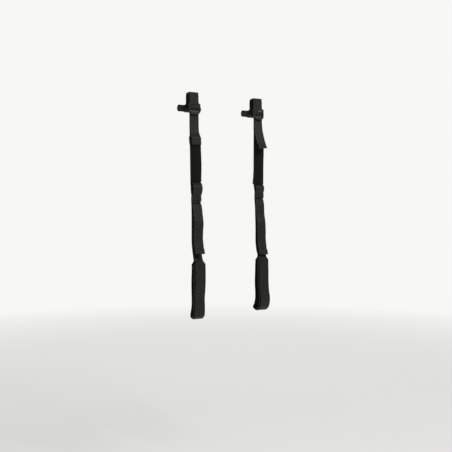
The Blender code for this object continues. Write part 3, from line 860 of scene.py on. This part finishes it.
@dataclass(frozen=True)
class LadderBuckle:
    """Ladder-lock buckle: two rails, a sewn bar, a toothed grip bar, a lower bar and a bowed lip."""

    name: str
    x: float
    half_width: float = 0.0315
    rail: float = 0.0059
    off_door: float = 0.0072
    sewn_bar: float = 0.061
    grip_bar: float = 0.077
    lower_bar: float = 0.096
    lip_tilt: float = math.radians(33)
    lip_half: float = 0.0270

    def _lip(self) -> bpy.types.Object:
        """The release lip: a plate with a bowed lower edge that leans away from the door."""
        across, down = 28, 12
        points = []
        for i in range(across + 1):
            side = self.lip_half * (2 * i / across - 1)
            drop = 0.0100 + 0.0085 * math.sqrt(max(0.0, 1 - (side / self.lip_half) ** 2))
            for j in range(down + 1):
                reach = drop * j / down
                curl = 0.0010 * math.sin(math.pi * j / down)
                points.append((self.x + side,
                               -self.off_door - 0.0006 - reach * math.sin(self.lip_tilt) + curl,
                               -self.lower_bar - reach * math.cos(self.lip_tilt)))
        row = down + 1
        faces = [(i * row + j, (i + 1) * row + j, (i + 1) * row + j + 1, i * row + j + 1)
                 for i in range(across) for j in range(down)]
        mesh = bpy.data.meshes.new("lip")
        mesh.from_pydata(points, [], faces)
        lip = add_object("lip", mesh)
        wall = lip.modifiers.new("wall", "SOLIDIFY")
        wall.thickness = 0.0026
        wall.offset = 0.0
        return finished(lip)

    def _ribs(self, name: str, count: int, first: Sequence[float], step: Sequence[float],
              rib: Sequence[float]) -> bpy.types.Object:
        """A row of ribs."""
        seed = add_object(name, bpy.data.meshes.new(name))
        values = {"Count": count, "First": tuple(first), "Step": tuple(step), "Rib": tuple(rib),
                  "Plastic": Finish.BLACK_PLASTIC.material()}
        return Repeats.run(seed, Repeats.rib_tree(), values)

    def make(self) -> bpy.types.Object:
        """Mould the buckle in one piece."""
        y, inner = -self.off_door, 2 * (self.half_width - self.rail) + 0.004
        rail_x = self.half_width - self.rail / 2
        solids = [rounded_block((self.x + side * rail_x, y - 0.0006, -0.0785),
                                (self.rail, 0.0105, 0.0440), 0.0021) for side in (-1, 1)]
        solids.append(rounded_block((self.x, y, -self.sewn_bar), (inner, 0.0042, 0.0042), 0.0018))
        solids.append(rounded_block((self.x, y, -self.grip_bar), (inner, 0.0034, 0.0056), 0.0010))
        solids.append(rounded_block((self.x, y, -self.lower_bar), (inner, 0.0038, 0.0060), 0.0012))
        solids.append(self._lip())
        teeth, pitch = 2, 0.0028
        front = (self.x, y - 0.0017, -self.grip_bar + pitch / 2)
        solids.append(self._ribs("teeth", teeth, front, (0, 0, -pitch), (inner / 2, 0.0009, 0.0009)))
        grips = 3
        lean = (0.0, -math.sin(self.lip_tilt), -math.cos(self.lip_tilt))
        start = [self.x, y - 0.0006, -self.lower_bar]
        start = [s + 0.0070 * k for s, k in zip(start, lean)]
        start[1] -= 0.0012
        solids.append(self._ribs("grips", grips, start, [0.0036 * k for k in lean],
                                 (0.0150, 0.0010, 0.0008)))
        return fused(self.name, solids, 0.00042, 4, Finish.BLACK_PLASTIC)


@dataclass(frozen=True)
class WebSlide:
    """Flat three-bar slide."""

    name: str
    x: float
    off: float
    below: float
    width: float = 0.0560
    height: float = 0.0280
    thickness: float = 0.0036
    bar: float = 0.0042

    def make(self) -> bpy.types.Object:
        """Mould the slide in one piece."""
        y, top = -self.off, -self.below
        side = (self.width - WEB_WIDTH - 0.0012) / 2
        middle = top - self.height / 2
        solids = [rounded_block((self.x + s * (self.width - side) / 2, y, middle),
                                (side, self.thickness, self.height), 0.0011) for s in (-1, 1)]
        for k in range(3):
            z = top - self.bar / 2 - k * (self.height - self.bar) / 2
            solids.append(rounded_block((self.x, y, z), (self.width - side, self.thickness, self.bar),
                                        0.0012))
        return fused(self.name, solids, 0.00036, 3, Finish.BLACK_PLASTIC)


@dataclass(frozen=True)
class DoorAnchor:
    """Foam covered tube that stays behind the door, with its end caps."""

    side: str
    centre: tuple[float, float, float]
    half: float = 0.060
    tube: float = 0.0110
    foam: float = 0.0170
    cap_gap: float = 0.0003
    flange: float = 0.0025

    def sleeve(self) -> bpy.types.Object:
        """The foam sleeve, rounded at its ends and squeezed a little where the loop holds it."""
        soft = 0.0022
        bore = self.tube + 0.0003
        corner = [(self.foam - soft + soft * math.cos(a), self.half - soft + soft * math.sin(a))
                  for a in np.linspace(0, math.pi / 2, 6)]
        outer = [(self.foam - 0.0007 * math.exp(-((x / 0.024) ** 6)), x)
                 for x in np.linspace(-self.half + 0.004, self.half - 0.004, 33)]
        far = [(r, -x) for r, x in corner[::-1]]
        outline = [(bore, self.half), (bore, -self.half), *far, *outer, *corner]
        return Turned(f"anchor_sleeve_{self.side}", self.centre, tuple(outline),
                      Finish.SLEEVE_FOAM).make()

    def cap(self, end: str, sign: int) -> bpy.types.Object:
        """One end cap: a domed flange with a dimple, and its plug inside the tube."""
        face = self.half + self.cap_gap
        plug, deep = self.tube - 0.0023, 0.0100
        rim = [(self.tube - 0.0009 * (1 - math.cos(a)), face + self.flange - 0.0009 * (1 - math.sin(a)))
               for a in np.linspace(0, math.pi / 2, 5)]
        dish = [(0.0060, face + self.flange), (0.0045, face + self.flange - 0.0007),
                (0.0, face + self.flange - 0.0009)]
        outline = [(0.0, face - deep), (plug - 0.0008, face - deep), (plug, face - deep + 0.0008),
                   (plug, face), (self.tube, face), *rim, *dish]
        shown = tuple((r, sign * a) for r, a in outline)
        return Turned(f"anchor_end_{end}_{self.side}", self.centre, shown, Finish.BLACK_PLASTIC).make()


# ---------------------------------------------------------------- one strap

@dataclass(frozen=True)
class Routes:
    """One strap's routes, as points (off the door, below its top) in millimetres."""

    slide: Point
    main: tuple[Point, ...]
    hand_pad: tuple[Point, ...]
    hand_loop: tuple[Point, ...]
    upper_tail: tuple[Point, ...]
    upper_hem: tuple[Point, ...]
    lower: tuple[Point, ...]
    neck: tuple[Point, ...]
    lower_tail: tuple[Point, ...]
    lower_hem: tuple[Point, ...]
    loop: tuple[Point, ...]

    def by_slide(self, offsets: Sequence[Point]) -> list[Point]:
        """Points given from the slide's middle plane and top edge."""
        return [(self.slide[0] + off, self.slide[1] + down) for off, down in offsets]


LEFT = Routes(
    slide=(30.0, 525.0),
    main=((2.6, 200), (4.6, 240), (9, 330), (12.5, 430), (17, 485), (21, 510)),
    hand_pad=((14.6, 226), (19.4, 265), (25.6, 330), (28, 380), (25.4, 425), (25.6, 452)),
    hand_loop=((26.6, 453.2), (34, 457), (46, 467), (53, 485), (49, 503), (40, 516)),
    upper_tail=((3.9, 104), (4.4, 150), (7, 192), (16, 212), (27, 228), (31, 241)),
    upper_hem=((31, 241), (31.8, 253), (31.8, 265)),
    lower=((26, 580), (27.5, 640), (27.5, 740), (34, 785), (42.5, 815)),
    neck=((42.5, 815), (48, 832), (54, 846)),
    lower_tail=((33, 562), (42, 575), (53, 615), (63.5, 660), (59, 695), (56, 735), (63, 766),
                (69.5, 786)),
    lower_hem=((69.5, 786), (73.5, 798), (77, 810)),
    loop=((73, 859), (76, 905), (76, 955), (71, 1000), (65, 1037), (68, 1078), (66.5, 1110),
          (61, 1127), (45, 1136.5), (28, 1132), (24, 1116), (33, 1093), (40, 1060), (39, 1010),
          (37, 960), (41, 905), (43, 860)))

RIGHT = Routes(
    slide=(17.0, 501.0),
    main=((2.4, 200), (1.8, 240), (1.4, 330), (1.4, 430), (1.9, 454), (6, 470), (11, 487)),
    hand_pad=((14.4, 226), (15.4, 265), (13.4, 330), (11.4, 390), (10.4, 430), (10.2, 455)),
    hand_loop=((11.4, 456.2), (19, 459.5), (26.5, 467), (28.5, 479), (26, 490), (21.5, 497)),
    upper_tail=((3.9, 104), (5, 130), (11, 166), (19, 190), (29, 215), (41, 240)),
    upper_hem=((41, 240), (47.5, 252), (55.5, 267)),
    lower=((15.5, 560), (19, 613), (22.5, 680), (23.5, 760), (32, 800)),
    neck=((32, 800), (39, 816), (46, 829)),
    lower_tail=((20, 538), (27.5, 562), (31.5, 613), (42, 655), (45, 700), (46, 745), (52, 778),
                (58, 798)),
    lower_hem=((58, 798), (61.5, 810), (64.5, 822)),
    loop=((62, 848), (65, 890), (67, 965), (72, 1012), (81, 1052), (78, 1081), (68, 1102),
          (51, 1114), (24, 1117), (6, 1109), (7, 1097), (21, 1078), (29, 1052), (28, 1012),
          (25, 965), (29, 890), (33, 848)))


@dataclass
class DoorStrap:
    """One complete strap, from its door anchor to its foot loop."""

    side: str
    x: float
    routes: Routes
    tail_twist: float
    tail_sway: float
    hand_shape: PadShape
    door_thickness: float = 0.040
    sleeve_radius: float = 0.0170
    loop_clearance: float = 0.0006
    anchor_below: float = 0.073
    foot_shape: PadShape = PadShape(0.067, 0.0090, edge=0.0042, end_share=0.02)

    def named(self, part: str) -> str:
        """The part's name on this side."""
        return f"{part}_{self.side}"

    def web(self, part: str, line: np.ndarray, cup: float = 0.0002, **looks) -> Band:
        """A band of webbing along a line in metres."""
        return Band(self.named(part), self.x, even(line, LINE_STEP),
                    webbing_section(WEB_WIDTH, WEB_THICKNESS, cup), Finish.WEBBING,
                    ripple=0.0003, **looks)

    def settle(self, piece: bpy.types.Object, body: str, slot: str, *nodes: str) -> bpy.types.Object:
        """Put a piece on its body, and hide the nodes that it stands for."""
        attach(piece, body)
        self.stand_for(piece, *nodes)
        return piece

    def stand_for(self, piece: bpy.types.Object, *nodes: str) -> None:
        """Hide the nodes that a piece stands for, and report it."""
        if nodes:
            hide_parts(*[self.named(node) for node in nodes])
        LOG.info("%s: %d faces", piece.name, len(piece.data.polygons))

    def bend(self, band: Band, bodies: tuple[str, str], reach: tuple, *nodes: str) -> bpy.types.Object:
        """Make a band and hide the nodes that it stands for."""
        piece = band.make()
        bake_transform(piece)
        self.stand_for(piece, *nodes)
        return piece

    def sew(self, part: str, body: str, seams: Sequence[Seam]) -> None:
        """Sew a body's seams as one piece."""
        self.settle(Stitching().make(self.named(part), seams), body, "webbing")

    def anchor_centre(self) -> tuple[float, float, float]:
        """The middle of the tube behind the door."""
        off = WEB_THICKNESS + self.loop_clearance + self.sleeve_radius
        return (self.x, self.door_thickness + off, -self.anchor_below)

    def arc(self, centre: Point, radius: float, start: float, stop: float, steps: int) -> list[Point]:
        """Points on an arc, in degrees from +Y towards +Z."""
        turn = np.radians(np.linspace(start, stop, steps + 1))
        return [(centre[0] + radius * math.cos(a), centre[1] + radius * math.sin(a)) for a in turn]

    def build_door_webbing(self) -> None:
        """Over the door's top: round the anchor tube behind it, and round the buckle's bar in front."""
        lie = WEB_THICKNESS / 2
        back = self.door_thickness + lie
        _, y, z = self.anchor_centre()
        ring = self.sleeve_radius + self.loop_clearance + lie
        second = back + WEB_THICKNESS + 0.0003
        sewn = [(second, -0.0080), (second, -0.0450), (second + 0.0022, -0.0515)]
        behind = [*sewn, *self.arc((y, z), ring, 480, 180, 24), (back, -0.050), (back, -0.020)]
        over = [*self.arc((back - 0.004, lie - 0.004), 0.004, 0, 90, 5), (0.030, lie), (0.010, lie)]
        edge = self.arc((0.0020, lie - 0.0030), 0.0030, 90, 180, 5)
        bar = (-0.0072, -0.061)
        down = [(-lie, -0.010), (-lie, -0.022), (-lie, -0.044), (-lie - 0.0007, -0.050)]
        fold = self.arc(bar, 0.0022 + 0.0003 + lie, 20, -200, 12)
        front = -lie - WEB_THICKNESS - 0.0003
        up = [(front - 0.0042, -0.0535), (front - 0.0010, -0.0465), (front, -0.0420), (front, -0.0160)]
        line = smooth([*behind, *over, *edge, *down, *fold, *up], 4)
        band = self.web("over_door_webbing", line, cup=0.0)
        self.bend(band, ("door_webbing", self.named("front_drop")),
                  ((0.0020, 0.0), (-0.0010, 0.0)), "door_webbing", "drop_webbing")
        inside = -WEB_THICKNESS / 2 - 0.0001
        self.sew("anchor_loop_stitching", "door_webbing", self.box_on(band, 0.004, 0.034, inside))
        self.sew("drop_stitching", self.named("front_drop"), self.box_on(band, -0.026, -0.003, inside))

    def box_on(self, band: Band, start: float, stop: float, out: float) -> list[Seam]:
        """A box stitch on whichever face of the band looks outwards."""
        face = band.box_stitch(start, stop, out)
        other = band.box_stitch(start, stop, -out)
        return face if self.outermost(face, other) else other

    def outermost(self, first: list[Seam], second: list[Seam]) -> bool:
        """Whether the first seams lie further from the middle of the door than the second."""
        middle = self.door_thickness / 2
        return abs(first[0][:, 1] - middle).mean() > abs(second[0][:, 1] - middle).mean()

    def build_buckle(self) -> None:
        """The ladder-lock buckle."""
        buckle = LadderBuckle(self.named("moulded_buckle"), self.x).make()
        self.settle(buckle, self.named("buckle"), "black_plastic", "ladder_buckle")

    def build_main(self) -> None:
        """The strap from the buckle down behind the pad, round the slide and up into the pad."""
        routes = self.routes
        top = [(1.3, 88.0), (1.3, 120), (1.6, 160)]
        turn = routes.by_slide([(-3.4, 0.2), (-3.4, 3.6), (-2.6, 6.3), (0, 7.0), (2.6, 6.3),
                                (3.4, 3.6), (3.6, -1.0)])
        line = on_door(smooth([*top, *routes.main, *turn, *routes.hand_loop[::-1]]))
        band = self.web("main_strap", line)
        reach = ((0.0, -0.0883), (0.0, -0.2000))
        self.bend(band, (self.named("buckle"), self.named("hand_strap")), reach,
                  "main_span", "main_webbing", "hand_loop_webbing")
        top = [(4.9, 197), (5.5, 207), (9.0, 216), (13.4, 223), (14.7, 229)]
        loop_top = self.web("hand_loop_top", on_door(smooth(top)))
        self.settle(loop_top.make(), self.named("hand_strap"), "webbing")
        self.seams_hand = self.box_on(loop_top, 0.0025, 0.0125, 0.0011)[:4]
        end = band.along[-1]
        self.seams_hand += [band.seam(side * 0.021, out, end - 0.030, end - 0.004)
                            for side in (-1, 1) for out in (-0.0011, 0.0011)]

    def build_upper_tail(self) -> None:
        """The webbing over the grip bar and its free end in front."""
        turn = [(1.3, 88), (1.5, 84.5), (2.8, 81.2), (3.8, 77), (3.8, 71.2), (5.0, 67.9), (7.4, 66.8),
                (9.6, 68.1), (10.6, 72.2), (10.4, 78), (9.4, 82.4), (6.8, 86.4), (4.6, 89.6), (4.0, 93)]
        tail = hemmed([*turn, *self.routes.upper_tail], self.routes.upper_hem)
        band = self.web("upper_tail_strap", on_door(tail), twist=self.tail_twist, sway=self.tail_sway)
        reach = ((0.0, -0.104), (0.0, -0.240))
        self.bend(band, (self.named("buckle"), self.named("upper_tail")), reach,
                  "grip_wrap", "upper_tail", "upper_tail_hem")
        self.sew("upper_hem_stitching", self.named("upper_tail"), self.hem_seams(band))

    def hem_seams(self, band: Band) -> list[Seam]:
        """Two rows across a folded end, on the face that looks away from the door."""
        seams = []
        for back in (0.004, 0.018):
            seams.append(band.slant(-0.0225, 0.0225, self.hem_face(band), -back, -back))
        return seams

    def hem_face(self, band: Band) -> float:
        """The face of the folded end that looks away from the door."""
        tries = (0.0011, -0.0011)
        off = [band.slant(-0.01, 0.01, out, -0.010, -0.010)[:, 1].mean() for out in tries]
        return tries[int(np.argmin(off))]

    def build_lower_strap(self) -> None:
        """The lower strap: over the slide's middle bar and down to the foot loop's neck."""
        routes = self.routes
        wrap = routes.by_slide([(-3.5, 28.7), (-3.5, 24), (-2, 21.4), (2.2, 18.6), (3.4, 15.6), (3.2, 12),
                                (2, 9.5), (0, 9.0), (-2, 9.5), (-3.1, 12), (-3.4, 14.5), (-4.4, 18.2),
                                (-5.8, 22), (-6.2, 28.2), (-6.0, 36)])
        line = on_door(smooth([*wrap, *routes.lower, *routes.neck[1:]]))
        band = self.web("lower_strap_webbing", line)
        start = -(routes.slide[1] + 28.6) * MM
        stop = -routes.neck[0][1] * MM
        self.bend(band, (self.named("hand_strap"), self.named("lower_strap")),
                  ((0.0, start), (0.0, stop)), "slide_wrap", "lower_span", "loop_neck")

    def build_lower_tail(self) -> None:
        """The free end that hangs in front of the lower strap."""
        routes = self.routes
        start = routes.by_slide([(-3.4, 28.9), (-2.2, 31.5)])
        tail = hemmed([*start, *routes.lower_tail], routes.lower_hem)
        band = self.web("lower_tail_strap", on_door(tail), twist=-0.6 * self.tail_twist,
                        sway=0.5 * self.tail_sway)
        reach = ((0.0, -(routes.slide[1] + 29.5) * MM), (0.0, -routes.lower_tail[-1][1] * MM))
        self.bend(band, (self.named("hand_strap"), self.named("lower_tail")), reach,
                  "lower_tail", "lower_tail_hem")
        self.sew("lower_hem_stitching", self.named("lower_tail"), self.hem_seams(band))

    def build_hand_pad(self) -> None:
        """The hand loop's padded sleeve, and all the sewing on the hand loop."""
        shape = self.hand_shape
        line = even(on_door(smooth(self.routes.hand_pad)), 0.0015)
        band = Band(self.named("hand_pad"), self.x, line, shape.section, Finish.HAND_CLOTH,
                    ripple=0.0009, pucker=0.00035, edge_finish=Finish.BINDING,
                    edge_from=shape.width / 2 * (1 - shape.pull) - shape.edge - 0.0002)
        pad = band.make()
        self.settle(pad, self.named("hand_strap"), "hand_pad_cloth", "hand_pad_cover", "hand_pad_foam")
        self.sew("hand_loop_stitching", self.named("hand_strap"),
                 self.seams_hand + self.pad_seams(band, shape, rows=(0.006, 0.010)))

    def pad_seams(self, band: Band, shape: PadShape, rows: Sequence[float]) -> list[Seam]:
        """Seams beside a pad's bound edges, and rows across its ends."""
        seams = []
        total = band.along[-1]
        places = np.linspace(0.004, total - 0.004, 160)
        for face in (-1, 1):
            for side in (-1, 1):
                seams.append(np.array([self.on_pad(band, shape, place, side, face, None)
                                       for place in places]))
            for row in [*rows, *(total - r for r in rows)]:
                seams.append(np.array([self.on_pad(band, shape, row, side, face, 0.90)
                                       for side in np.linspace(-1, 1, 40)]))
        return seams

    def on_pad(self, band: Band, shape: PadShape, place: float, side: float, face: int,
               inset: float | None) -> Vector:
        """A point on a pad's face, across the crown or beside its bound edge."""
        share = place / band.along[-1]
        crown = shape.half_width(share) - shape.edge
        across = side * (crown + 0.0012 if inset is None else crown * inset)
        index = int(np.clip(np.searchsorted(band.along, place), 0, len(band.along) - 1))
        out = face * (shape.height(across, share) + 0.0001)
        return band.place(index, across - shape.lean(share), out)

    def build_slide(self) -> None:
        """The flat slide under the hand loop."""
        off, below = (value * MM for value in self.routes.slide)
        slide = WebSlide(self.named("moulded_slide"), self.x, off, below).make()
        self.settle(slide, self.named("hand_strap"), "black_plastic", "web_slide")

    def build_foot_loop(self) -> None:
        """The padded foot loop with webbing sewn round its outside."""
        shape, foot = self.foot_shape, self.named("foot_loop")
        outline = smooth(self.routes.loop)
        inside = self.inner_side(outline)
        band_line = even(on_door(side_step(outline, inside * shape.thickness / MM / 2)), 0.0020)
        band = Band(self.named("foot_pad"), self.x, band_line, shape.section, Finish.FOOT_CLOTH,
                    ripple=0.0008, pucker=0.0003, edge_finish=Finish.BINDING,
                    edge_from=shape.width / 2 * (1 - shape.pull) - shape.edge - 0.0002)
        pad = band.make()
        self.settle(pad, foot, "foot_pad_cloth", "foot_pad_cover", "foot_pad_foam")

        outer = even(side_step(outline, -inside * 1.5), 4.0)
        neck = np.array(self.routes.neck[-1])
        front = [neck + (0.2, -7.0), neck + (1.6, -1.0), neck + (4.0, 2.6), outer[0] + (-9.0, -8.4),
                 outer[0] + (-1.6, -5.0)]
        back = [outer[-1] + (1.6, -5.0), outer[-1] + (7.0, -8.4), neck + (-1.4, 2.6),
                neck + (-2.2, -1.0), neck + (-4.0, -7.0)]
        line = on_door(smooth([*front, *outer, *back], 6))
        web = self.web("foot_loop_band", line, cup=0.0)
        hinge = -self.routes.neck[-1][1] * MM
        self.bend(web, (self.named("lower_strap"), foot), ((0.0, hinge + 0.004), (0.0, hinge - 0.012)),
                  "foot_loop_webbing")
        out = self.outer_face(web)
        total = web.along[-1]
        seams = [web.seam(side * 0.0215, out, 0.044, total - 0.038) for side in (-1, 1)]
        seams += web.box_stitch(0.042, 0.066, out) + web.box_stitch(total - 0.060, total - 0.036, out)
        self.sew("foot_loop_stitching", foot, seams + self.pad_seams(band, shape, rows=(0.005,)))
        neck_rows = [web.slant(-0.020, 0.020, out, place, place) for place in (0.0015, 0.0030)]
        self.sew("neck_stitching", self.named("lower_strap"), neck_rows)

    @staticmethod
    def inner_side(outline: np.ndarray) -> float:
        """+1 where the inside of a closed outline is to the left of its direction, or else -1."""
        middle = outline.mean(axis=0)
        first = np.linalg.norm(side_step(outline, 1.0) - middle, axis=1).mean()
        second = np.linalg.norm(side_step(outline, -1.0) - middle, axis=1).mean()
        return 1.0 if first < second else -1.0

    @staticmethod
    def outer_face(web: Band) -> float:
        """The out value of the face of a ring of webbing that looks outwards."""
        middle = web.line.mean(axis=0)
        first = np.linalg.norm(web.line + web.left * 0.001 - middle, axis=1).mean()
        second = np.linalg.norm(web.line - web.left * 0.001 - middle, axis=1).mean()
        return (WEB_THICKNESS / 2 + 0.0001) * (1.0 if first > second else -1.0)

    def build_anchor(self) -> None:
        """The foam covered tube behind the door."""
        anchor, body = DoorAnchor(self.side, self.anchor_centre()), self.named("anchor")
        self.settle(anchor.sleeve(), body, "anchor_foam", "anchor_foam")
        for end, sign in (("a", -1), ("b", 1)):
            self.settle(anchor.cap(end, sign), body, "black_plastic", f"anchor_cap_{end}")
        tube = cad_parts[self.named("anchor_tube")]
        tube.data.materials.clear()
        tube.data.materials.append(Finish.TUBE_PLASTIC.material())

    def build(self) -> None:
        """Build the whole strap."""
        self.build_anchor()
        self.build_door_webbing()
        self.build_buckle()
        self.build_main()
        self.build_upper_tail()
        self.build_hand_pad()
        self.build_slide()
        self.build_lower_strap()
        self.build_lower_tail()
        self.build_foot_loop()


# ---------------------------------------------------------------- studio

@dataclass(frozen=True)
class Studio:
    """Pale floor, soft light and the camera."""

    floor_height: float = -1.985
    floor_size: float = 14.0
    camera_place: tuple[float, float, float] = (-1.4501, -2.8530, -0.6355)
    yaw: float = 26.90
    pitch: float = 0.709
    lens: float = 49.06
    sky_light: float = 0.16

    def floor(self) -> None:
        """A large pale floor at the foot of the door."""
        half = self.floor_size / 2
        mesh = bpy.data.meshes.new("studio_floor")
        corners = [(-half, -half, 0.0), (half, -half, 0.0), (half, half, 0.0), (-half, half, 0.0)]
        mesh.from_pydata(corners, [], [(0, 1, 2, 3)])
        mesh.materials.append(Finish.FLOOR.material())
        floor = add_object("studio_floor", mesh)
        floor.location.z = self.floor_height

    def lamp(self, name: str, place: Sequence[float], aim: Sequence[float], size: float,
             power: float) -> None:
        """A soft square lamp."""
        light = bpy.data.lights.new(name, "AREA")
        light.size = size
        light.energy = power
        lamp = bpy.data.objects.new(name, light)
        lamp.location = place
        lamp.rotation_euler = (Vector(aim) - Vector(place)).to_track_quat("-Z", "Y").to_euler()
        bpy.context.scene.collection.objects.link(lamp)

    def light(self) -> None:
        """An even pale sky and three soft lamps."""
        world = bpy.data.worlds.new("studio")
        world.use_nodes = True
        sky = world.node_tree.nodes["Background"]
        sky.inputs["Color"].default_value = (*SKY, 1.0)
        seen = world.node_tree.nodes.new("ShaderNodeLightPath").outputs["Is Camera Ray"]
        strength = world.node_tree.nodes.new("ShaderNodeMapRange")
        strength.inputs["To Min"].default_value = self.sky_light
        strength.inputs["To Max"].default_value = 1.0
        world.node_tree.links.new(seen, strength.inputs["Value"])
        world.node_tree.links.new(strength.outputs["Result"], sky.inputs["Strength"])
        bpy.context.scene.world = world
        bpy.context.scene.view_settings.view_transform = "Standard"
        middle = (0.0, 0.0, -0.55)
        self.lamp("key", (1.0, -2.9, 2.0), middle, 1.2, 80)
        self.lamp("fill", (-2.8, -1.8, 0.2), middle, 2.0, 5)
        self.lamp("rear", (1.0, 2.8, 1.2), middle, 2.0, 25)

    def camera(self) -> None:
        """The camera, level but for a slight downward tilt."""
        data = bpy.data.cameras.new("camera")
        data.lens = self.lens
        camera = bpy.data.objects.new("camera", data)
        camera.location = self.camera_place
        camera.rotation_euler = (math.radians(90 - self.pitch), 0.0, math.radians(-self.yaw))
        bpy.context.scene.collection.objects.link(camera)
        bpy.context.scene.camera = camera

    def build(self) -> None:
        """Set the studio up."""
        self.floor()
        self.light()
        self.camera()


def main() -> None:
    """Build the studio and both straps."""
    logging.basicConfig(level=logging.INFO, format="%(name)s %(message)s")
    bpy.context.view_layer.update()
    Studio().build()
    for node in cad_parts.values():
        if "foam" in node.name:
            node.data.materials.clear()
            node.data.materials.append(Finish.CORE_FOAM.material())
    DoorStrap("left", -STRAP_SPACING / 2, LEFT, tail_twist=math.radians(-6), tail_sway=0.0,
              hand_shape=PadShape(*HAND_PAD, ear=0.0030)).build()
    DoorStrap("right", STRAP_SPACING / 2, RIGHT, tail_twist=math.radians(-8), tail_sway=0.002,
              hand_shape=PadShape(*HAND_PAD, flare=0.0045)).build()
    bpy.context.view_layer.update()


if __name__ == "__main__":
    main()
